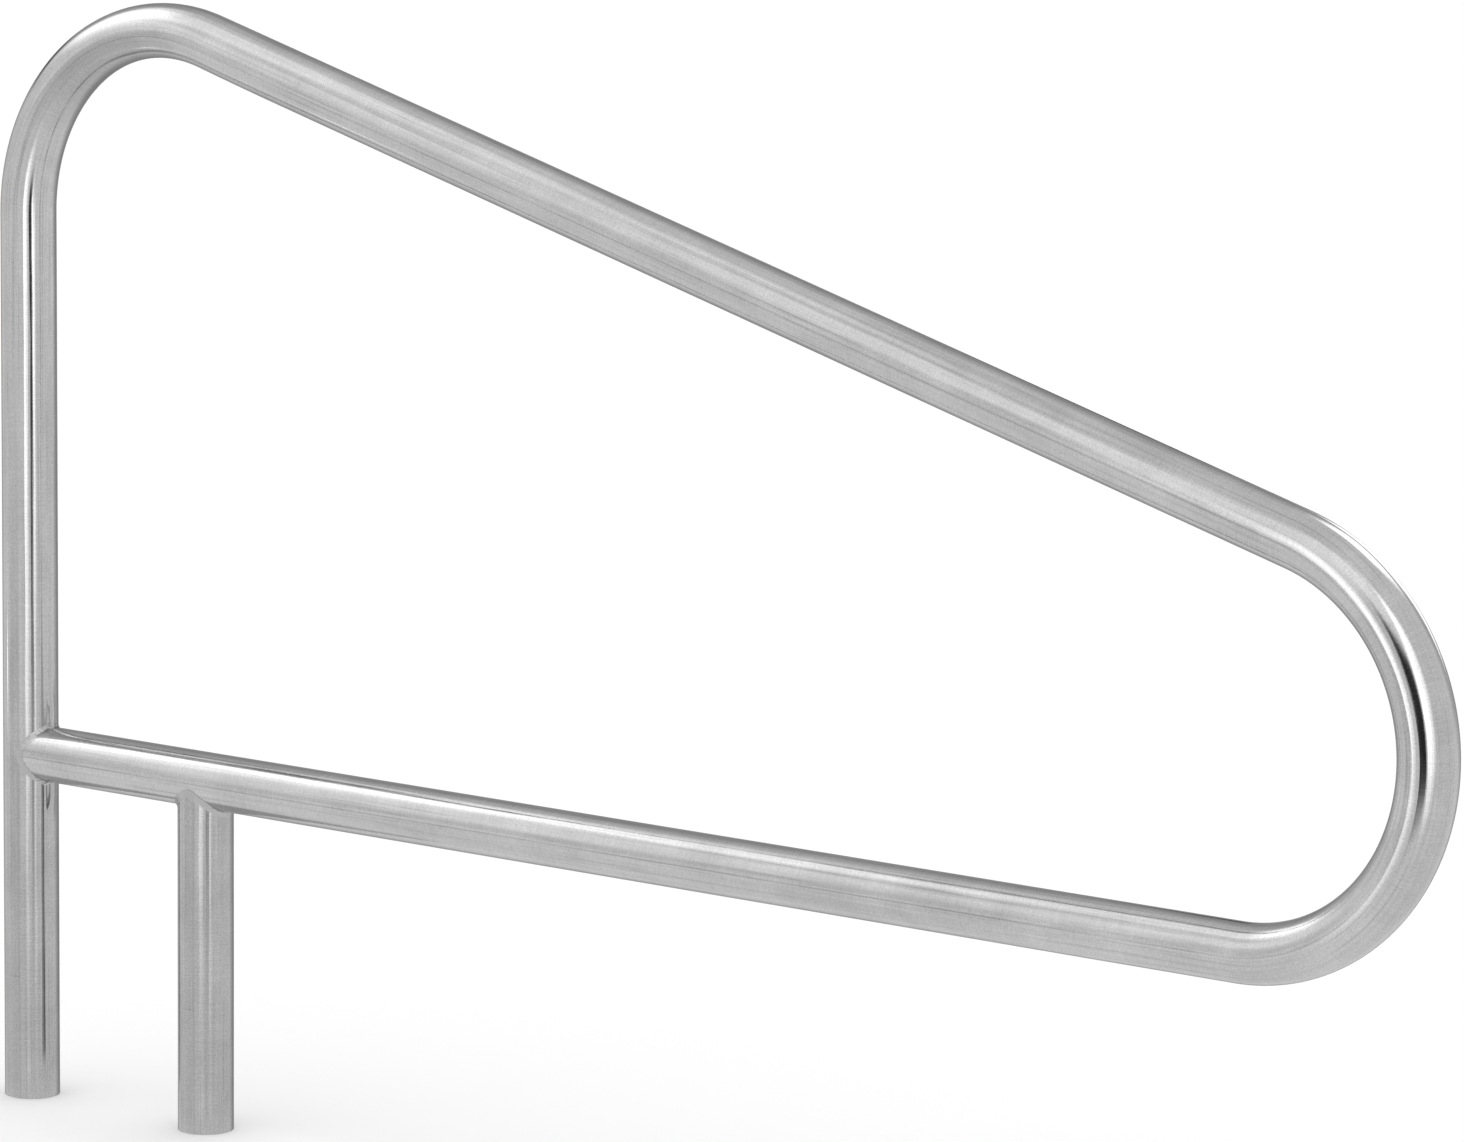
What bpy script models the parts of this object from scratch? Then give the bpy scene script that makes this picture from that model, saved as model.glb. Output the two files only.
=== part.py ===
"""Pool handrail: one stainless tube bent into a sloping loop on a rear post, with a short front post.

The rail lies in the plane Y = 0. The rear post's axis is the Z axis, the post ends stand at Z = 0
and the nose of the loop points along +X. The tube runs up the rear post, over the top bend, down the
sloping top rail, round the nose and back along the level lower rail, whose end is coped round the
rear post and welded to it. The front post is a separate tube, coped and welded under the lower rail.
"""

import math

import bmesh
import bpy
from mathutils import Vector

INCH = 0.0254

# Driving dimensions
TUBE_DIAMETER = 1.90 * INCH
TUBE_WALL = 0.065 * INCH
OVERALL_HEIGHT = 38 * INCH
OVERALL_LENGTH = 58 * INCH
BEND_RADIUS = 6.5 * INCH            # to the tube's centre line, the same in both bends
LOWER_RAIL_HEIGHT = 12 * INCH       # from the post ends to the lower rail's centre line
POST_SPACING = 8 * INCH             # between the centre lines of the two posts
FIT_GAP = 0.0003                    # clearance between pieces that touch
WELD_LEG = 0.0032                   # reach of a weld bead along each tube
WELD_SIDE_CROWN = 0.0007            # height of the bead where the tubes' sides run flush
WELD_CORNER_CROWN = -0.0004         # the same in the inside corners, where the bead is hollow

# Fineness of the solids
BEVEL_RESOLUTION = 10
BEND_STEP = math.radians(6)
WELD_STEPS = 48
WELD_TURN_SOFTNESS = 0.2            # rounds the bead where it turns over the tube's side
SHARP_ANGLE = math.radians(40)

# Worked out from the driving dimensions
TUBE_RADIUS = TUBE_DIAMETER / 2
COPE_RADIUS = TUBE_RADIUS + FIT_GAP
TOP_BEND_CENTRE = Vector((BEND_RADIUS, 0, OVERALL_HEIGHT - TUBE_RADIUS - BEND_RADIUS))
NOSE_CENTRE = Vector((OVERALL_LENGTH - TUBE_DIAMETER - BEND_RADIUS, 0, LOWER_RAIL_HEIGHT + BEND_RADIUS))
RAIL_SLOPE = math.atan2(TOP_BEND_CENTRE.z - NOSE_CENTRE.z, NOSE_CENTRE.x - TOP_BEND_CENTRE.x)
REAR_JOINT = Vector((0, 0, LOWER_RAIL_HEIGHT))
FRONT_JOINT = Vector((POST_SPACING, 0, LOWER_RAIL_HEIGHT))

AXIS_X = Vector((1, 0, 0))
AXIS_Z = Vector((0, 0, 1))


def clear_scene():
    for obj in list(bpy.data.objects):
        bpy.data.objects.remove(obj, do_unlink=True)


def make_collection(name):
    collection = bpy.data.collections.new(name)
    bpy.context.scene.collection.children.link(collection)
    return collection


def make_steel(name, colour, roughness):
    material = bpy.data.materials.new(name)
    material.use_nodes = True
    shader = material.node_tree.nodes["Principled BSDF"]
    shader.inputs["Base Color"].default_value = (*colour, 1)
    shader.inputs["Metallic"].default_value = 1
    shader.inputs["Roughness"].default_value = roughness
    return material


def brushed_tube_steel():
    return make_steel("brushed_tube_steel", (0.60, 0.60, 0.60), 0.28)


def brushed_post_steel():
    return make_steel("brushed_post_steel", (0.57, 0.57, 0.57), 0.30)


def polished_weld_steel(name):
    return make_steel(name, (0.66, 0.66, 0.66), 0.16)


def add_object(name, mesh, collection, material):
    obj = bpy.data.objects.new(name, mesh)
    obj.data.materials.append(material)
    collection.objects.link(obj)
    return obj


def bend_points(centre, start, end):
    """Centre-line points of a clockwise bend between two angles, from just after the start to the end."""
    steps = max(1, round((start - end) / BEND_STEP))
    angles = [start + (end - start) * i / steps for i in range(1, steps + 1)]
    return [centre + BEND_RADIUS * Vector((math.cos(a), 0, math.sin(a))) for a in angles]


def main_tube_route():
    """Centre line from the rear post's end, round the loop, to the coped end of the lower rail."""
    crown = math.pi / 2
    rail_tangent = crown - RAIL_SLOPE
    route = [Vector((0, 0, 0)), Vector((0, 0, TOP_BEND_CENTRE.z))]
    route += bend_points(TOP_BEND_CENTRE, math.pi, crown)
    route += bend_points(TOP_BEND_CENTRE, crown, rail_tangent)
    route.append(NOSE_CENTRE + BEND_RADIUS * Vector((math.cos(rail_tangent), 0, math.sin(rail_tangent))))
    route += bend_points(NOSE_CENTRE, rail_tangent, 0)
    route += bend_points(NOSE_CENTRE, 0, -crown)
    route.append(REAR_JOINT + TUBE_RADIUS * AXIS_X)
    return route


def tube_skin(name, route, collection):
    """Open tube skin swept along a route: a bevelled curve turned into a mesh."""
    curve = bpy.data.curves.new(name + "_route", "CURVE")
    curve.dimensions = "3D"
    curve.bevel_depth = TUBE_RADIUS
    curve.bevel_resolution = BEVEL_RESOLUTION
    spline = curve.splines.new("POLY")
    spline.points.add(len(route) - 1)
    for point, place in zip(spline.points, route):
        point.co = (*place, 1)
    guide = bpy.data.objects.new(name + "_route", curve)
    collection.objects.link(guide)
    mesh = bpy.data.meshes.new_from_object(guide.evaluated_get(bpy.context.evaluated_depsgraph_get()))
    bpy.data.objects.remove(guide)
    bpy.data.curves.remove(curve)
    return mesh


def add_wall(name, skin, collection):
    """Thickens the skin inwards to the tube's wall. Both ends stay open, as flat rings."""
    tube = bpy.data.objects.new(name, skin)
    collection.objects.link(tube)
    wall = tube.modifiers.new("wall", "SOLIDIFY")
    wall.thickness = TUBE_WALL
    wall.offset = -1
    wall.use_even_offset = True
    mesh = bpy.data.meshes.new_from_object(tube.evaluated_get(bpy.context.evaluated_depsgraph_get()))
    bpy.data.objects.remove(tube)
    return mesh


def cope_end(mesh, end, joint, branch, run):
    """Slides the rings at the tube's end along the branch, onto a saddle that clears the other tube."""
    side = branch.cross(run)
    for vertex in mesh.vertices:
        if (vertex.co - end).length > TUBE_DIAMETER or abs((vertex.co - end).dot(branch)) > FIT_GAP:
            continue
        offset = vertex.co - joint
        reach = math.sqrt(COPE_RADIUS ** 2 - offset.dot(side) ** 2)
        vertex.co += (reach - offset.dot(branch)) * branch


def make_tube(name, route, joint, branch, run, collection, material):
    """Hollow tube along a route, whose last end is coped to the tube that runs through the joint."""
    mesh = add_wall(name, tube_skin(name, route, collection), collection)
    cope_end(mesh, route[-1], joint, branch, run)
    mesh.shade_smooth()
    mesh.set_sharp_from_angle(angle=SHARP_ANGLE)
    return add_object(name, mesh, collection, material)


def weld_section(angle, branch, run):
    """Corners of the bead's section at an angle round the branch, measured from the joint's centre."""
    side = branch.cross(run)
    across = math.sin(angle)
    along = math.cos(angle)
    root = COPE_RADIUS * (abs(along) * branch + across * side + along * run)
    turn = along / math.hypot(along, WELD_TURN_SOFTNESS)
    spread = math.hypot(across, turn)
    wrap = WELD_LEG / COPE_RADIUS * across / spread
    run_angle = angle_round_run(across, along) + wrap
    run_toe = COPE_RADIUS * (math.cos(run_angle) * branch + math.sin(run_angle) * side)
    run_toe += (root.dot(run) + WELD_LEG * turn / spread) * run
    branch_toe = root + WELD_LEG * branch
    outward = (abs(along) * branch + 2 * across * side + along * run).normalized()
    crown = WELD_SIDE_CROWN + (WELD_CORNER_CROWN - WELD_SIDE_CROWN) * along ** 2
    return root, branch_toe, (branch_toe + run_toe) / 2 + crown * outward, run_toe


def angle_round_run(across, along):
    """Angle of the saddle's point round the run tube, from the branch's direction."""
    return math.atan2(across, abs(along))


def make_weld(name, joint, branch, run, collection, material):
    """Weld bead round the saddle where the branch tube meets the run tube: a loft of its sections."""
    bead = bmesh.new()
    rings = []
    for step in range(WELD_STEPS):
        section = weld_section(2 * math.pi * step / WELD_STEPS, branch, run)
        rings.append([bead.verts.new(joint + corner) for corner in section])
    for ring, following in zip(rings, rings[1:] + rings[:1]):
        for i in range(len(ring)):
            j = (i + 1) % len(ring)
            bead.faces.new((ring[i], ring[j], following[j], following[i]))
    bmesh.ops.recalc_face_normals(bead, faces=bead.faces)
    mesh = bpy.data.meshes.new(name)
    bead.to_mesh(mesh)
    bead.free()
    mesh.shade_smooth()
    mesh.set_sharp_from_angle(angle=SHARP_ANGLE)
    return add_object(name, mesh, collection, material)


def build():
    clear_scene()
    rail = make_collection("pool_handrail")
    front_post_route = [Vector((POST_SPACING, 0, 0)), FRONT_JOINT - TUBE_RADIUS * AXIS_Z]
    make_tube("handrail_tube", main_tube_route(), REAR_JOINT, AXIS_X, AXIS_Z, rail, brushed_tube_steel())
    make_tube("front_post", front_post_route, FRONT_JOINT, -AXIS_Z, AXIS_X, rail, brushed_post_steel())
    make_weld("rear_joint_weld", REAR_JOINT, AXIS_X, AXIS_Z, rail, polished_weld_steel("rear_weld_steel"))
    make_weld("front_post_weld", FRONT_JOINT, -AXIS_Z, AXIS_X, rail, polished_weld_steel("post_weld_steel"))


build()
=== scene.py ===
"""Looks of the pool handrail: polished stainless tubes, weld beads, and a plain pale studio."""

import math

import bmesh
import bpy
from mathutils import Matrix, Vector, noise


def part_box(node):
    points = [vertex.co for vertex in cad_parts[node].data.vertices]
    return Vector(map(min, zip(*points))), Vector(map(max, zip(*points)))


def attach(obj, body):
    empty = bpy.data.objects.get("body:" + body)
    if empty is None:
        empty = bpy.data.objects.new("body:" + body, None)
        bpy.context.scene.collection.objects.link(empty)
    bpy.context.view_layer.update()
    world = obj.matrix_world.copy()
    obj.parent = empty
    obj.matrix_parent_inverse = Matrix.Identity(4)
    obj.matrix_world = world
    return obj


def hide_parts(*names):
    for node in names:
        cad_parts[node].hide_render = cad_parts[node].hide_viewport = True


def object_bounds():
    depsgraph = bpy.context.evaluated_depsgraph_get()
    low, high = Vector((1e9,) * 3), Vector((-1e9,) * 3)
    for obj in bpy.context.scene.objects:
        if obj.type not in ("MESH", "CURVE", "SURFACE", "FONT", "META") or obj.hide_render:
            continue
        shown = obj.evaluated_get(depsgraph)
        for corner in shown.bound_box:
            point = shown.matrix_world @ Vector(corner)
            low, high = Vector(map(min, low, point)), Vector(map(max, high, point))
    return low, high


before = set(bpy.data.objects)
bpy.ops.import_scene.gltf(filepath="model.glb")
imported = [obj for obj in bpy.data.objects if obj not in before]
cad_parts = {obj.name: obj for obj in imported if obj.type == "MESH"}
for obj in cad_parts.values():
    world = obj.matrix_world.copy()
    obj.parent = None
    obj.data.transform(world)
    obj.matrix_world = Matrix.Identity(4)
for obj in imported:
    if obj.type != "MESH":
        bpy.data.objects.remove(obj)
CAD_LOW, CAD_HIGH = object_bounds()

# ---------------------------------------------------------------- sizes, from the frame
INCH = 0.0254
BEND_RADIUS = 6.5 * INCH
TUBE_WALL = 0.065 * INCH
POST_LOW, POST_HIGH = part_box("front_post")
WELD_LOW, WELD_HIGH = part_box("rear_joint_weld")
TUBE_RADIUS = (POST_HIGH.x - POST_LOW.x) / 2
POST_SPACING = (POST_HIGH.x + POST_LOW.x) / 2
LOWER_RAIL_HEIGHT = (WELD_LOW.z + WELD_HIGH.z) / 2
TOP_BEND_CENTRE = Vector((BEND_RADIUS, 0, CAD_HIGH.z - TUBE_RADIUS - BEND_RADIUS))
NOSE_CENTRE = Vector((CAD_HIGH.x - TUBE_RADIUS - BEND_RADIUS, 0, LOWER_RAIL_HEIGHT + BEND_RADIUS))
RAIL_SLOPE = math.atan2(TOP_BEND_CENTRE.z - NOSE_CENTRE.z, NOSE_CENTRE.x - TOP_BEND_CENTRE.x)
REAR_JOINT = Vector((0, 0, LOWER_RAIL_HEIGHT))
FRONT_JOINT = Vector((POST_SPACING, 0, LOWER_RAIL_HEIGHT))
AXIS_X = Vector((1, 0, 0))
AXIS_Y = Vector((0, 1, 0))
AXIS_Z = Vector((0, 0, 1))

# ---------------------------------------------------------------- fineness
TUBE_SIDES = 96
BEND_STEP = math.radians(2)
STRAIGHT_STEP = 0.015
SHARP_ANGLE = math.radians(50)
FOOT_EDGE_ANGLE = math.radians(45)
END_CHAMFER = 0.0004
POLISH_RIPPLE = 0.0002
RIPPLE_SCALE = (60, 60, 5)          # ripples are short across the tube and long along it

# ---------------------------------------------------------------- flattened inner side of the top bend, and painted shade on it
FLAT_CENTRE = 0.96                  # distance along the tube
FLAT_REACH = 0.2
FLAT_SHARE = 0.1                    # share of the tube's inner half that is lost at the centre
PAINTED_SHADE_REACH = 0.11                   # painted shade darkens the flattened side this far from its centre
# painted shade: the steel's colour on the flattened inner side is multiplied by this at its centre
INNER_BEND_PAINTED_SHADE = 0.78

# ---------------------------------------------------------------- weld beads
BEAD_STEPS = 240
BEAD_SPAN = 10
BEAD_LEG = 0.0034                   # reach along each tube, in the inside corners
BEAD_SIDE_LEG = 0.0035              # the same where the tubes' sides run flush
SEAM_SOFTNESS = 0.35                # rounds the saddle's line where it runs over the tube's side
BEAD_TURN_SOFTNESS = 0.25
BEAD_SIDE_CROWN = 0.00006
BEAD_ROOT_DEPTH = 0.0006
BEAD_LUMPS = 0.0012
LUMP_CLOSENESS = 9
BEAD_WOBBLE = 0.25                  # how far the reach wanders, as a share of it
WOBBLE_CLOSENESS = 4

# ---------------------------------------------------------------- light
ROOM_LIGHT = 1.15
ROOM_GLOW = 0.8                     # what the polish mirrors of the room, and of the floor
FLOOR_GLOW = 0.87
BACK_GLOW = 0.34
BACK_OF_ROOM = Vector((-0.5, 0.86, 0.05))
SHEEN_HEIGHT = -1.5
FLOOR_SIZE = 140


# ---------------------------------------------------------------- camera and studio
def place_camera():
    camera = bpy.data.objects.new("camera", bpy.data.cameras.new("camera"))
    bpy.context.scene.collection.objects.link(camera)
    bpy.context.scene.camera = camera
    camera.data.sensor_width = 36
    camera.data.lens = 176.75
    camera.data.clip_end = 200
    place = Matrix.Translation((4.2261, -4.5004, 1.4724))
    turn = Matrix.Rotation(math.radians(37.549), 4, "Z")
    tilt = Matrix.Rotation(math.radians(90 - 9.264), 4, "X")
    roll = Matrix.Rotation(math.radians(0.645), 4, "Z")
    camera.matrix_world = place @ turn @ tilt @ roll


def plain_material(name, colour, roughness):
    material = bpy.data.materials.new(name)
    material.use_nodes = True
    shader = material.node_tree.nodes["Principled BSDF"]
    shader.inputs["Base Color"].default_value = (*colour, 1)
    shader.inputs["Roughness"].default_value = roughness
    shader.inputs["Specular IOR Level"].default_value = 0.1
    return material


def lay_floor():
    """Pale floor. What the polished steel mirrors instead of it is the floor sheen, some way below."""
    floor = flat_sheet("floor", FLOOR_SIZE, FLOOR_SIZE)
    floor.data.materials.append(plain_material("pale_floor", (0.9, 0.9, 0.9), 0.8))
    floor.visible_glossy = False
    sheen = flat_sheet("floor_sheen", FLOOR_SIZE, FLOOR_SIZE)
    sheen.location.z = SHEEN_HEIGHT
    sheen.data.materials.append(floor_sheen_material())
    show_only_in_polish(sheen)


def flat_sheet(name, width, height):
    mesh = bpy.data.meshes.new(name)
    x, y = width / 2, height / 2
    mesh.from_pydata([(-x, -y, 0), (x, -y, 0), (x, y, 0), (-x, y, 0)], [], [(0, 1, 2, 3)])
    sheet = bpy.data.objects.new(name, mesh)
    bpy.context.scene.collection.objects.link(sheet)
    return sheet


def show_only_in_polish(sheet):
    sheet.visible_camera = False
    sheet.visible_diffuse = False
    sheet.visible_transmission = False
    sheet.visible_shadow = False


def floor_sheen_material():
    """Even glow of the lit floor, dim towards the dark back of the room."""
    material, nodes, link = glow_material("floor_sheen")
    place = nodes.new("ShaderNodeNewGeometry").outputs["Position"]
    outwards = nodes.new("ShaderNodeVectorMath")
    outwards.operation = "NORMALIZE"
    link(place, outwards.inputs[0])
    away = nodes.new("ShaderNodeVectorMath")
    away.operation = "DOT_PRODUCT"
    away.inputs[1].default_value = BACK_OF_ROOM
    link(outwards.outputs["Vector"], away.inputs[0])
    dim = ranged(nodes, link, away.outputs["Value"], FLOOR_GLOW, BACK_GLOW, 0.55, 0.9)
    link(dim, nodes["Emission"].inputs["Strength"])
    return material


def glow_material(name):
    material = bpy.data.materials.new(name)
    material.use_nodes = True
    nodes, link = material.node_tree.nodes, material.node_tree.links.new
    nodes.remove(nodes["Principled BSDF"])
    glow = nodes.new("ShaderNodeEmission")
    link(glow.outputs["Emission"], nodes["Material Output"].inputs["Surface"])
    return material, nodes, link


def light_room():
    """Even soft light from all round. The polish mirrors a dimmer room, darkest at its back."""
    world = bpy.data.worlds.new("soft_room")
    bpy.context.scene.world = world
    world.use_nodes = True
    nodes, link = world.node_tree.nodes, world.node_tree.links.new
    direction = nodes.new("ShaderNodeTexCoord").outputs["Generated"]
    towards_back = nodes.new("ShaderNodeVectorMath")
    towards_back.operation = "DOT_PRODUCT"
    towards_back.inputs[1].default_value = BACK_OF_ROOM
    link(direction, towards_back.inputs[0])
    mirrored = ranged(nodes, link, towards_back.outputs["Value"], ROOM_GLOW, BACK_GLOW, 0.5, 0.9)
    ray = nodes.new("ShaderNodeLightPath")
    strength = nodes.new("ShaderNodeMix")
    link(ray.outputs["Is Glossy Ray"], strength.inputs["Factor"])
    strength.inputs["A"].default_value = ROOM_LIGHT
    link(mirrored, strength.inputs["B"])
    link(strength.outputs["Result"], nodes["Background"].inputs["Strength"])
    nodes["Background"].inputs["Color"].default_value = (1, 1, 1, 1)


def card(name, place, size, brightness, fades, target=None):
    """Flat card that only the polish mirrors, bright or black, on which each edge fades out.

    It faces the target, or along Y where there is none. The fades are lengths: left, right, low, high.
    """
    width, height = size
    sheet = flat_sheet(name, width, height)
    aim = Vector(target) - Vector(place) if target else AXIS_Y
    sheet.matrix_world = Matrix.Translation(place) @ aim.to_track_quat("-Z", "Y").to_matrix().to_4x4()
    material, nodes, link = glow_material(name)
    nodes["Emission"].inputs["Strength"].default_value = brightness
    split = nodes.new("ShaderNodeSeparateXYZ")
    link(nodes.new("ShaderNodeTexCoord").outputs["Object"], split.inputs["Vector"])
    left, right, low, high = fades
    edges = (("X", -width / 2, left - width / 2), ("X", width / 2, width / 2 - right),
             ("Y", -height / 2, low - height / 2), ("Y", height / 2, height / 2 - high))
    cover = None
    for axis, edge, full in edges:
        fade = nodes.new("ShaderNodeMapRange")
        fade.interpolation_type = "SMOOTHSTEP"
        fade.inputs["From Min"].default_value = edge
        fade.inputs["From Max"].default_value = full
        link(split.outputs[axis], fade.inputs["Value"])
        fade = fade.outputs["Result"]
        cover = combined(nodes, link, cover, fade, "MULTIPLY") if cover else fade
    clear = nodes.new("ShaderNodeBsdfTransparent")
    faded = nodes.new("ShaderNodeMixShader")
    link(cover, faded.inputs[0])
    link(clear.outputs["BSDF"], faded.inputs[1])
    link(nodes["Emission"].outputs["Emission"], faded.inputs[2])
    link(faded.outputs["Shader"], nodes["Material Output"].inputs["Surface"])
    sheet.data.materials.append(material)
    show_only_in_polish(sheet)


def light_studio():
    bpy.context.scene.view_settings.view_transform = "Standard"
    light_room()
    lay_floor()
    card("window_wide", (3.1, -1.38, 0.95), (1.9, 3.3), 2.2, (0.1, 1.7, 1.3, 0.6))
    card("window_narrow", (0.87, -1.38, 0.45), (0.7, 1.7), 2.1, (0.07, 0.5, 0.9, 0.6))
    card("dark_curtain", (1.75, -1.38, 0.5), (0.75, 1.6), 0.02, (0.08, 0.1, 0.5, 0.4))
    card("front_glow", (0.9, -2.6, 2.4), (5.0, 2.6), 1.15, (1.2, 1.5, 0.8, 0.6), (0.7, 0, 0.6))
    card("left_glow", (-1.8, -2.2, 1.85), (3.0, 2.6), 1.08, (1.0, 1.0, 1.2, 0.8), (0.2, 0, 0.8))
    card("overhead_glow", (-0.6, -0.7, 2.9), (1.8, 1.8), 1.25, (0.6, 0.7, 0.6, 0.6), (-0.1, -0.3, 0.8))
    card("rear_box", (-1.6, -0.45, 2.3), (2.9, 2.4), 2.2, (0.9, 1.6, 0.9, 0.9), (0.3, -0.2, 0.8))
    card("near_flag", (-0.3, 0.096, 0.95), (0.56, 0.13), 0.1, (0.08, 0.2, 0.03, 0.03), (-0.3, 0, 0.3))
    card("joint_flag", (-0.45, 0.287, 0.95), (0.35, 0.115), 0.05, (0.06, 0.12, 0.03, 0.03), (-0.45, 0, 0.3))
    card("far_flag", (-2.8, 0.59, 4.3), (1.3, 0.8), 0.0, (0.15, 0.3, 0.15, 0.15), (-2.8, 0, 0.3))
    card("back_box_high", (1.5, 2.2, 2.8), (1.9, 1.9), 2.6, (0.6, 0.6, 0.8, 0.5), (1.3, 0, 0.5))
    card("back_box_low", (1.025, 2.2, 1.215), (1.45, 1.27), 2.2, (0.3, 0.55, 0.2, 0.3))
    card("back_flag", (0.2, 1.64, 1.0), (0.5, 0.4), 0.0, (0.15, 0.15, 0.1, 0.1))
    card("floor_edge", (-2.6, -4.9, -0.71), (6.0, 0.5), 0.58, (1.5, 1.5, 0.2, 0.2), (0.8, 0, 0.3))
    card("thin_lamp", (-0.36, -0.17, 0.315), (0.05, 0.08), 2.6, (0.015, 0.015, 0.02, 0.02), (0, 0, 0.36))


# ---------------------------------------------------------------- routes
def straight_points(start, end):
    """Points along a straight, evenly spaced, from just after the start to the end."""
    steps = max(1, math.ceil((end - start).length / STRAIGHT_STEP))
    return [start.lerp(end, i / steps) for i in range(1, steps + 1)]


def bend_place(centre, angle):
    return centre + BEND_RADIUS * Vector((math.cos(angle), 0, math.sin(angle)))


def bend_points(centre, start, end):
    """Points of a clockwise bend between two angles, from just after the start to the end."""
    steps = max(1, math.ceil((start - end) / BEND_STEP - 1e-6))
    return [bend_place(centre, start + (end - start) * i / steps) for i in range(1, steps + 1)]


def loop_route():
    """Centre line: up the rear post, over the top bend, down the rail, round the nose and back."""
    crown = math.pi / 2
    rail_tangent = crown - RAIL_SLOPE
    route = [Vector((0, 0, 0))]
    route += straight_points(route[-1], bend_place(TOP_BEND_CENTRE, math.pi))
    route += bend_points(TOP_BEND_CENTRE, math.pi, crown)
    route += bend_points(TOP_BEND_CENTRE, crown, rail_tangent)
    route += straight_points(route[-1], bend_place(NOSE_CENTRE, rail_tangent))
    route += bend_points(NOSE_CENTRE, rail_tangent, 0)
    route += bend_points(NOSE_CENTRE, 0, -crown)
    route += straight_points(route[-1], REAR_JOINT + TUBE_RADIUS * AXIS_X)
    return route


def post_route():
    foot = Vector((POST_SPACING, 0, 0))
    return [foot] + straight_points(foot, FRONT_JOINT - TUBE_RADIUS * AXIS_Z)


# ---------------------------------------------------------------- swept tube, in geometry nodes
def swept_tube_tree(steel):
    """Sweeps a round tube skin along a flat curve and notes where each point lies on the tube.

    The attribute tube_place holds the point's two offsets from the centre line and its distance
    along it, as if the tube were straight. The attribute tube_axis holds the tube's direction.
    """
    tree = bpy.data.node_groups.new("swept_tube", "GeometryNodeTree")
    sockets = tree.interface
    sockets.new_socket("Route", in_out="INPUT", socket_type="NodeSocketGeometry")
    for label, kind in (("Radius", "Float"), ("Sides", "Int"), ("Ripple Depth", "Float"), ("Seed", "Float"),
                        ("Flat Centre", "Float"), ("Flat Reach", "Float"), ("Flat Share", "Float")):
        sockets.new_socket(label, in_out="INPUT", socket_type="NodeSocket" + kind)
    sockets.new_socket("Tube", in_out="OUTPUT", socket_type="NodeSocketGeometry")
    nodes, link = tree.nodes, tree.links.new
    given = nodes.new("NodeGroupInput")
    result = nodes.new("NodeGroupOutput")

    capture = nodes.new("GeometryNodeCaptureAttribute")
    capture.domain = "POINT"
    for kind, label in (("VECTOR", "centre"), ("VECTOR", "axis"), ("FLOAT", "along")):
        capture.capture_items.new(kind, label)
    position = nodes.new("GeometryNodeInputPosition")
    tangent = nodes.new("GeometryNodeInputTangent")
    parameter = nodes.new("GeometryNodeSplineParameter")
    link(given.outputs["Route"], capture.inputs["Geometry"])
    link(position.outputs["Position"], capture.inputs["centre"])
    link(tangent.outputs["Tangent"], capture.inputs["axis"])
    link(parameter.outputs["Length"], capture.inputs["along"])

    ring = nodes.new("GeometryNodeCurvePrimitiveCircle")
    link(given.outputs["Radius"], ring.inputs["Radius"])
    link(given.outputs["Sides"], ring.inputs["Resolution"])
    sweep = nodes.new("GeometryNodeCurveToMesh")
    link(capture.outputs["Geometry"], sweep.inputs["Curve"])
    link(ring.outputs["Curve"], sweep.inputs["Profile Curve"])

    radial = nodes.new("ShaderNodeVectorMath")
    radial.operation = "SUBTRACT"
    link(position.outputs["Position"], radial.inputs[0])
    link(capture.outputs["centre"], radial.inputs[1])
    outward = nodes.new("ShaderNodeVectorMath")
    outward.operation = "CROSS_PRODUCT"
    link(capture.outputs["axis"], outward.inputs[0])
    outward.inputs[1].default_value = AXIS_Y
    across = nodes.new("ShaderNodeVectorMath")
    across.operation = "DOT_PRODUCT"
    link(radial.outputs["Vector"], across.inputs[0])
    link(outward.outputs["Vector"], across.inputs[1])
    split = nodes.new("ShaderNodeSeparateXYZ")
    link(radial.outputs["Vector"], split.inputs["Vector"])
    place = nodes.new("ShaderNodeCombineXYZ")
    link(across.outputs["Value"], place.inputs["X"])
    link(split.outputs["Y"], place.inputs["Y"])
    link(capture.outputs["along"], place.inputs["Z"])

    note_place = nodes.new("GeometryNodeStoreNamedAttribute")
    note_place.data_type = "FLOAT_VECTOR"
    note_place.inputs["Name"].default_value = "tube_place"
    link(sweep.outputs["Mesh"], note_place.inputs["Geometry"])
    link(place.outputs["Vector"], note_place.inputs["Value"])
    note_axis = nodes.new("GeometryNodeStoreNamedAttribute")
    note_axis.data_type = "FLOAT_VECTOR"
    note_axis.inputs["Name"].default_value = "tube_axis"
    link(note_place.outputs["Geometry"], note_axis.inputs["Geometry"])
    link(capture.outputs["axis"], note_axis.inputs["Value"])

    stretch = nodes.new("ShaderNodeVectorMath")
    stretch.operation = "MULTIPLY"
    stretch.inputs[1].default_value = RIPPLE_SCALE
    link(place.outputs["Vector"], stretch.inputs[0])
    wave = nodes.new("ShaderNodeTexNoise")
    wave.noise_dimensions = "4D"
    wave.inputs["Scale"].default_value = 1
    wave.inputs["Detail"].default_value = 1
    link(stretch.outputs["Vector"], wave.inputs["Vector"])
    link(given.outputs["Seed"], wave.inputs["W"])
    depth = nodes.new("ShaderNodeMath")
    depth.operation = "MULTIPLY"
    link(wave.outputs["Fac"], depth.inputs[0])
    link(given.outputs["Ripple Depth"], depth.inputs[1])
    direction = nodes.new("ShaderNodeVectorMath")
    direction.operation = "NORMALIZE"
    link(radial.outputs["Vector"], direction.inputs[0])
    sink = nodes.new("ShaderNodeVectorMath")
    sink.operation = "SCALE"
    link(direction.outputs["Vector"], sink.inputs[0])
    link(depth.outputs["Value"], sink.inputs["Scale"])
    inwards = nodes.new("ShaderNodeVectorMath")
    inwards.operation = "SCALE"
    inwards.inputs["Scale"].default_value = -1
    link(sink.outputs["Vector"], inwards.inputs[0])
    shape = nodes.new("GeometryNodeSetPosition")
    link(note_axis.outputs["Geometry"], shape.inputs["Geometry"])

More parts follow.
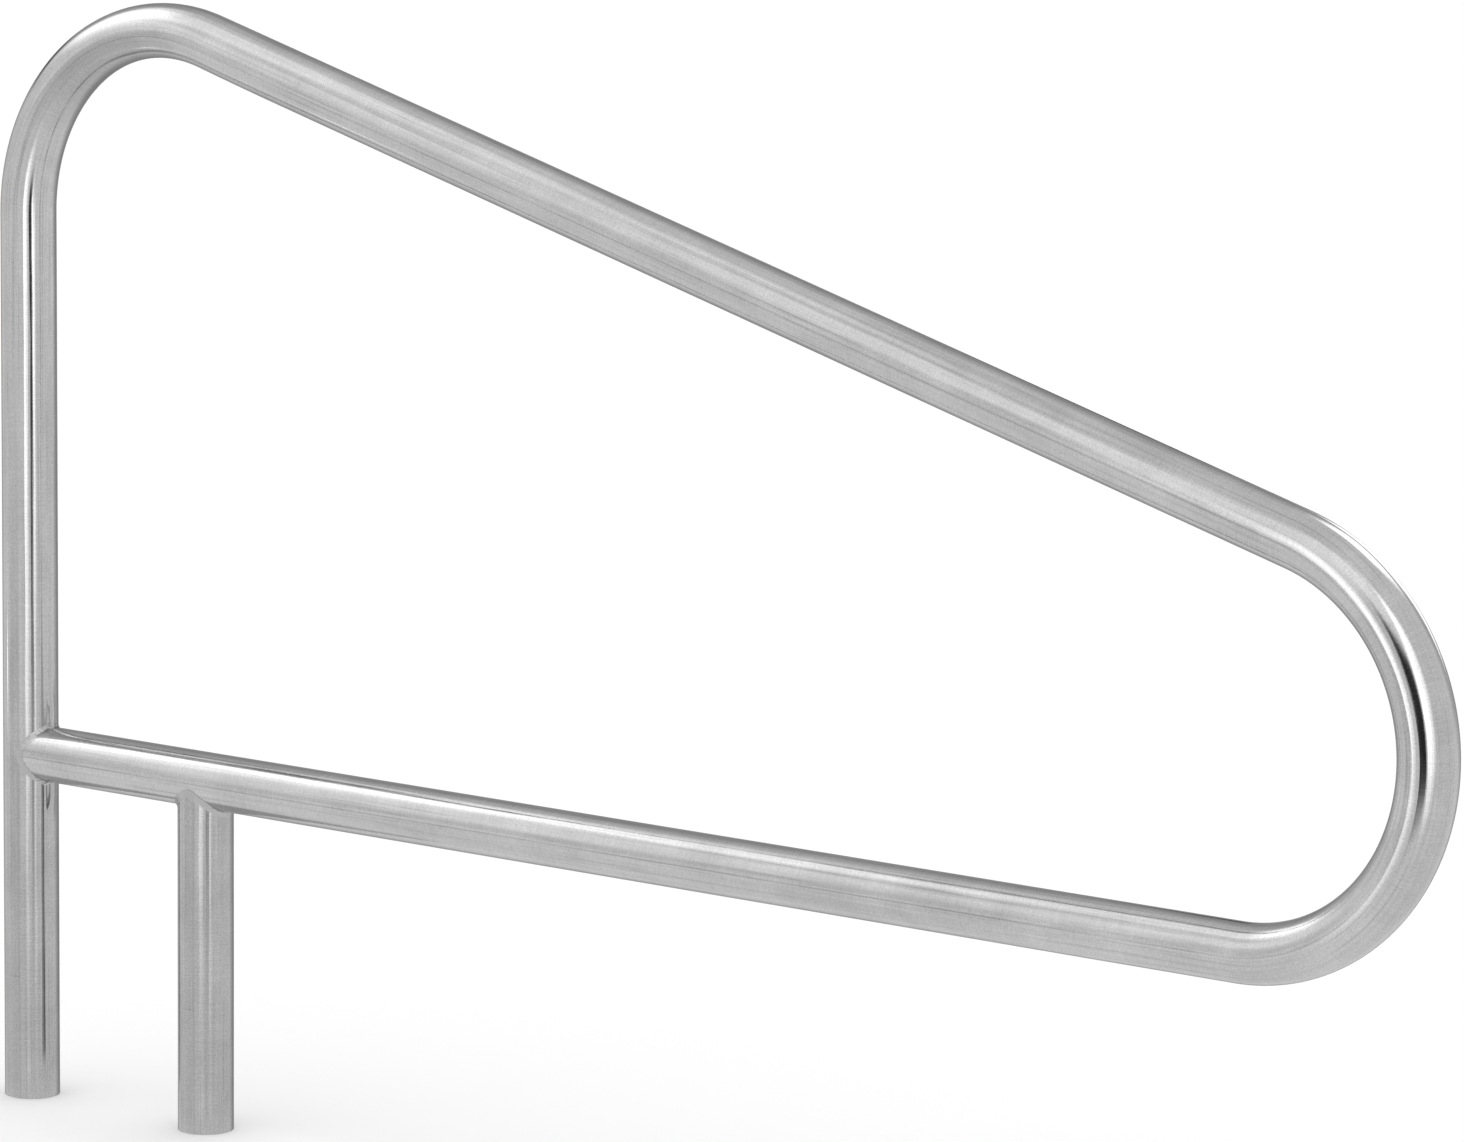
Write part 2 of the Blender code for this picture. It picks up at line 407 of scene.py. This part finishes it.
    from_flat = nodes.new("ShaderNodeMath")
    from_flat.operation = "SUBTRACT"
    link(capture.outputs["along"], from_flat.inputs[0])
    link(given.outputs["Flat Centre"], from_flat.inputs[1])
    distance = nodes.new("ShaderNodeMath")
    distance.operation = "ABSOLUTE"
    link(from_flat.outputs["Value"], distance.inputs[0])
    flatness = nodes.new("ShaderNodeMapRange")
    flatness.interpolation_type = "SMOOTHSTEP"
    link(given.outputs["Flat Reach"], flatness.inputs["From Max"])
    link(given.outputs["Flat Share"], flatness.inputs["To Min"])
    flatness.inputs["To Max"].default_value = 0
    link(distance.outputs["Value"], flatness.inputs["Value"])
    inner = nodes.new("ShaderNodeMath")
    inner.operation = "MINIMUM"
    inner.inputs[1].default_value = 0
    link(across.outputs["Value"], inner.inputs[0])
    lift = nodes.new("ShaderNodeMath")
    lift.operation = "MULTIPLY"
    link(inner.outputs["Value"], lift.inputs[0])
    link(flatness.outputs["Result"], lift.inputs[1])
    push = nodes.new("ShaderNodeVectorMath")
    push.operation = "SCALE"
    link(outward.outputs["Vector"], push.inputs[0])
    link(lift.outputs["Value"], push.inputs["Scale"])
    flatten = nodes.new("ShaderNodeVectorMath")
    flatten.operation = "SUBTRACT"
    link(inwards.outputs["Vector"], flatten.inputs[0])
    link(push.outputs["Vector"], flatten.inputs[1])
    link(flatten.outputs["Vector"], shape.inputs["Offset"])

    smooth = nodes.new("GeometryNodeSetShadeSmooth")
    finish = nodes.new("GeometryNodeSetMaterial")
    finish.inputs["Material"].default_value = steel
    realize = nodes.new("GeometryNodeRealizeInstances")
    link(shape.outputs["Geometry"], smooth.inputs["Geometry"])
    link(smooth.outputs["Geometry"], realize.inputs["Geometry"])
    link(realize.outputs["Geometry"], finish.inputs["Geometry"])
    link(finish.outputs["Geometry"], result.inputs["Tube"])
    return tree


def set_inputs(modifier, values):
    """Sets a geometry nodes modifier's named inputs, by their sockets' identifiers."""
    for item in modifier.node_group.interface.items_tree:
        if item.item_type == "SOCKET" and item.in_out == "INPUT" and item.name in values:
            modifier[item.identifier] = values[item.name]


def as_mesh(obj):
    """The object's finished shape as a plain mesh. The object itself is removed."""
    mesh = bpy.data.meshes.new_from_object(obj.evaluated_get(bpy.context.evaluated_depsgraph_get()))
    bpy.data.objects.remove(obj)
    return mesh


def link_piece(name, data):
    piece = bpy.data.objects.new(name, data)
    bpy.context.scene.collection.objects.link(piece)
    return piece


def swept_skin(name, route, steel, seed):
    curve = bpy.data.curves.new(name + "_route", "CURVE")
    curve.dimensions = "3D"
    spline = curve.splines.new("POLY")
    spline.points.add(len(route) - 1)
    for point, place in zip(spline.points, route):
        point.co = (*place, 1)
    guide = link_piece(name + "_route", curve)
    sweep = guide.modifiers.new("sweep", "NODES")
    sweep.node_group = swept_tube_tree(steel)
    set_inputs(sweep, {"Radius": TUBE_RADIUS, "Sides": TUBE_SIDES, "Ripple Depth": POLISH_RIPPLE, "Seed": seed,
                       "Flat Centre": FLAT_CENTRE, "Flat Reach": FLAT_REACH, "Flat Share": FLAT_SHARE})
    return as_mesh(guide)


def with_wall(name, skin):
    tube = link_piece(name, skin)
    wall = tube.modifiers.new("wall", "SOLIDIFY")
    wall.thickness = TUBE_WALL
    wall.offset = -1
    wall.use_even_offset = True
    return as_mesh(tube)


def cope_and_chamfer(mesh, route, joint, branch, run):
    """Fits the tube's last end to the tube that runs through the joint, and breaks its foot's edges."""
    side = branch.cross(run)
    shape = bmesh.new()
    shape.from_mesh(mesh)
    near = END_CHAMFER
    for vertex in shape.verts:
        if (vertex.co - route[-1]).length < 2 * TUBE_RADIUS and abs((vertex.co - route[-1]).dot(branch)) < near:
            offset = vertex.co - joint
            saddle = max(TUBE_RADIUS ** 2 - offset.dot(side) ** 2, 0)
            reach = math.sqrt(saddle + (SEAM_SOFTNESS * TUBE_RADIUS) ** 2)
            vertex.co += (reach - offset.dot(branch)) * branch
    foot = [e for e in shape.edges if all(abs(v.co.z) < near / 2 for v in e.verts)
            and e.calc_face_angle(0) > FOOT_EDGE_ANGLE]
    bmesh.ops.bevel(shape, geom=foot, offset=END_CHAMFER, segments=2, profile=0.5, affect="EDGES")
    shape.to_mesh(mesh)
    shape.free()


def make_tube(name, node, route, joint, branch, run, steel, seed):
    mesh = with_wall(name, swept_skin(name, route, steel, seed))
    cope_and_chamfer(mesh, route, joint, branch, run)
    mesh.shade_smooth()
    mesh.set_sharp_from_angle(angle=SHARP_ANGLE)
    mesh.materials.clear()
    mesh.materials.append(steel)
    place_piece(link_piece(name, mesh), node)


# ---------------------------------------------------------------- making weld beads
def bead_section(angle, branch, run, seed):
    """The bead's section at an angle round the branch: a hollow fillet from one tube to the other."""
    side = branch.cross(run)
    across = math.sin(angle)
    along = math.cos(angle)
    soft = math.hypot(along, SEAM_SOFTNESS)
    corner = TUBE_RADIUS * (soft * branch + across * side + along * run)
    turn = along / math.hypot(along, BEAD_TURN_SOFTNESS)
    spread = math.hypot(across, turn)
    wobble = 1 + BEAD_WOBBLE * noise.noise(Vector((WOBBLE_CLOSENESS * across, WOBBLE_CLOSENESS * along, seed)))
    leg = (BEAD_SIDE_LEG + (BEAD_LEG - BEAD_SIDE_LEG) * along ** 2) * wobble
    run_angle = math.atan2(across, soft) + leg / TUBE_RADIUS * across / spread
    run_toe = TUBE_RADIUS * (math.cos(run_angle) * branch + math.sin(run_angle) * side)
    run_toe += (TUBE_RADIUS * along + leg * turn / spread) * run
    branch_toe = corner + leg * branch
    outward = (abs(along) * branch + 2 * across * side + along * run).normalized()
    points = []
    for i in range(BEAD_SPAN + 1):
        t = i / BEAD_SPAN
        point = (1 - t) ** 2 * run_toe + 2 * t * (1 - t) * corner + t ** 2 * branch_toe
        crown = 4 * t * (1 - t)
        place = Vector((LUMP_CLOSENESS * across, LUMP_CLOSENESS * along, 2 * t + seed))
        lumps = noise.noise(place) * along ** 2
        point += crown * (BEAD_SIDE_CROWN * across ** 2 + BEAD_LUMPS * lumps) * outward
        points.append(point)
    points.append(corner - BEAD_ROOT_DEPTH * outward)
    return points


def make_weld(name, node, joint, branch, run, steel, seed):
    bead = bmesh.new()
    rings = []
    for step in range(BEAD_STEPS):
        section = bead_section(2 * math.pi * step / BEAD_STEPS, branch, run, seed)
        rings.append([bead.verts.new(joint + corner) for corner in section])
    for ring, following in zip(rings, rings[1:] + rings[:1]):
        for i in range(len(ring)):
            j = (i + 1) % len(ring)
            bead.faces.new((ring[i], ring[j], following[j], following[i]))
    bmesh.ops.recalc_face_normals(bead, faces=bead.faces)
    mesh = bpy.data.meshes.new(name)
    bead.to_mesh(mesh)
    bead.free()
    mesh.shade_smooth()
    mesh.set_sharp_from_angle(angle=SHARP_ANGLE)
    mesh.materials.append(steel)
    place_piece(link_piece(name, mesh), node)


def place_piece(piece, node):
    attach(piece, "root")
    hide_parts(node)


# ---------------------------------------------------------------- steel finishes
def scaled_noise(nodes, link, source, scale, detail, distortion=0.0):
    """Noise whose grain is finer, along each axis, the larger the scale there."""
    mapping = nodes.new("ShaderNodeMapping")
    mapping.inputs["Scale"].default_value = scale
    link(source, mapping.inputs["Vector"])
    texture = nodes.new("ShaderNodeTexNoise")
    texture.inputs["Scale"].default_value = 1
    texture.inputs["Detail"].default_value = detail
    texture.inputs["Distortion"].default_value = distortion
    link(mapping.outputs["Vector"], texture.inputs["Vector"])
    return texture.outputs["Fac"]


def ranged(nodes, link, source, low, high, from_low=0.3, from_high=0.7):
    """Turns the source's range into low to high, and holds it there beyond either end."""
    spread = nodes.new("ShaderNodeMapRange")
    spread.inputs["From Min"].default_value = from_low
    spread.inputs["From Max"].default_value = from_high
    spread.inputs["To Min"].default_value = low
    spread.inputs["To Max"].default_value = high
    link(source, spread.inputs["Value"])
    return spread.outputs["Result"]


def combined(nodes, link, first, second, operation="ADD"):
    both = nodes.new("ShaderNodeMath")
    both.operation = operation
    link(first, both.inputs[0])
    link(second, both.inputs[1])
    return both.outputs["Value"]


def painted_shade_inner_bend(nodes, link, place):
    """Painted shade on the inner side of the top bend: the steel's colour is darkened there, most near the
    flattened side's centre.
    """
    from_centre = nodes.new("ShaderNodeMath")
    from_centre.operation = "SUBTRACT"
    from_centre.inputs[1].default_value = FLAT_CENTRE
    link(place.outputs["Z"], from_centre.inputs[0])
    distance = nodes.new("ShaderNodeMath")
    distance.operation = "ABSOLUTE"
    link(from_centre.outputs["Value"], distance.inputs[0])
    near = ranged(nodes, link, distance.outputs["Value"], INNER_BEND_PAINTED_SHADE, 1, 0.4 * PAINTED_SHADE_REACH, PAINTED_SHADE_REACH)
    outer = ranged(nodes, link, place.outputs["X"], 0, 1, -0.5 * TUBE_RADIUS, 0.1 * TUBE_RADIUS)
    return combined(nodes, link, near, outer, "MAXIMUM")


def polished_tube_steel(name, tone, painted_shade_foot_tone, roughness):
    """Stainless tube polished round its girth: fine rings of grain, long faint draw lines, rubbed patches, with
    painted shade towards the feet and on the inner side of the top bend.
    """
    material = bpy.data.materials.new(name)
    material.use_nodes = True
    nodes, link = material.node_tree.nodes, material.node_tree.links.new
    shader = nodes["Principled BSDF"]
    shader.inputs["Metallic"].default_value = 1
    shader.inputs["Anisotropic"].default_value = 1.0
    place = nodes.new("ShaderNodeAttribute")
    place.attribute_name = "tube_place"
    axis = nodes.new("ShaderNodeAttribute")
    axis.attribute_name = "tube_axis"
    link(axis.outputs["Vector"], shader.inputs["Tangent"])
    where = place.outputs["Vector"]

    rings = scaled_noise(nodes, link, where, (45, 45, 1500), 3)
    grain = scaled_noise(nodes, link, where, (900, 900, 1300), 2)
    streaks = scaled_noise(nodes, link, where, (330, 330, 5), 3, 0.3)
    patches = scaled_noise(nodes, link, where, (26, 26, 14), 5, 0.8)
    scuffs = scaled_noise(nodes, link, where, (110, 110, 420), 5, 1.2)
    draw_lines = scaled_noise(nodes, link, where, (750, 750, 6), 2, 0.2)

    rough = combined(nodes, link, ranged(nodes, link, patches, roughness - 0.03, roughness + 0.03),
                     ranged(nodes, link, streaks, -0.025, 0.025))
    link(rough, shader.inputs["Roughness"])
    along = nodes.new("ShaderNodeSeparateXYZ")
    link(where, along.inputs["Vector"])
    # painted shade: the colour darkens from tone at 0.75 m along the tube down to painted_shade_foot_tone at
    # 0.1 m, towards the feet
    shade = ranged(nodes, link, along.outputs["Z"], painted_shade_foot_tone, tone, 0.1, 0.75)
    for pattern, depth in ((rings, 0.06), (grain, 0.14), (streaks, 0.07), (patches, 0.08)):
        shade = combined(nodes, link, shade, ranged(nodes, link, pattern, 1 - depth, 1 + depth), "MULTIPLY")
    shade = combined(nodes, link, shade, ranged(nodes, link, scuffs, 1, 0.82, 0.7, 0.76), "MULTIPLY")
    shade = combined(nodes, link, shade, ranged(nodes, link, draw_lines, 1, 0.82, 0.58, 0.68), "MULTIPLY")
    # painted shade on the inner side of the top bend
    shade = combined(nodes, link, shade, painted_shade_inner_bend(nodes, link, along), "MULTIPLY")
    tint = nodes.new("ShaderNodeVectorMath")
    tint.operation = "SCALE"
    tint.inputs[0].default_value = (1, 1, 1)
    link(shade, tint.inputs["Scale"])
    link(tint.outputs["Vector"], shader.inputs["Base Color"])

    relief = None
    for pattern, depth in ((streaks, 0.00006), (rings, 0.00001), (scuffs, 0.00002)):
        bump = nodes.new("ShaderNodeBump")
        bump.inputs["Distance"].default_value = depth
        link(pattern, bump.inputs["Height"])
        if relief:
            link(relief, bump.inputs["Normal"])
        relief = bump.outputs["Normal"]
    link(relief, shader.inputs["Normal"])
    return material


def polished_weld_steel(name):
    """Ground and buffed bead, brighter and more lumpy than the tube."""
    material = bpy.data.materials.new(name)
    material.use_nodes = True
    nodes, link = material.node_tree.nodes, material.node_tree.links.new
    shader = nodes["Principled BSDF"]
    shader.inputs["Metallic"].default_value = 1
    shader.inputs["Base Color"].default_value = (0.5, 0.5, 0.5, 1)
    where = nodes.new("ShaderNodeTexCoord").outputs["Object"]
    lumps = scaled_noise(nodes, link, where, (420, 420, 420), 3)
    split = nodes.new("ShaderNodeSeparateXYZ")
    link(where, split.inputs["Vector"])
    sideways = nodes.new("ShaderNodeMath")
    sideways.operation = "ABSOLUTE"
    link(split.outputs["Y"], sideways.inputs[0])
    flush = ranged(nodes, link, sideways.outputs["Value"], 0.07, 0.24, 0.3 * TUBE_RADIUS, 0.85 * TUBE_RADIUS)
    link(combined(nodes, link, flush, ranged(nodes, link, lumps, -0.05, 0.05)), shader.inputs["Roughness"])
    bump = nodes.new("ShaderNodeBump")
    bump.inputs["Distance"].default_value = 0.0004
    link(lumps, bump.inputs["Height"])
    link(bump.outputs["Normal"], shader.inputs["Normal"])
    return material


# ---------------------------------------------------------------- making
place_camera()
light_studio()
# in both tubes the second tone, 0.47, is painted shade towards the feet
make_tube("loop_tube", "handrail_tube", loop_route(), REAR_JOINT, AXIS_X, AXIS_Z,
          polished_tube_steel("polished_loop_steel", 0.56, 0.47, 0.11), 1.0)
make_tube("short_post", "front_post", post_route(), FRONT_JOINT, -AXIS_Z, AXIS_X,
          polished_tube_steel("polished_post_steel", 0.54, 0.47, 0.12), 2.0)
make_weld("rear_weld_bead", "rear_joint_weld", REAR_JOINT, AXIS_X, AXIS_Z,
          polished_weld_steel("rear_bead_steel"), 3.0)
make_weld("post_weld_bead", "front_post_weld", FRONT_JOINT, -AXIS_Z, AXIS_X,
          polished_weld_steel("post_bead_steel"), 7.0)
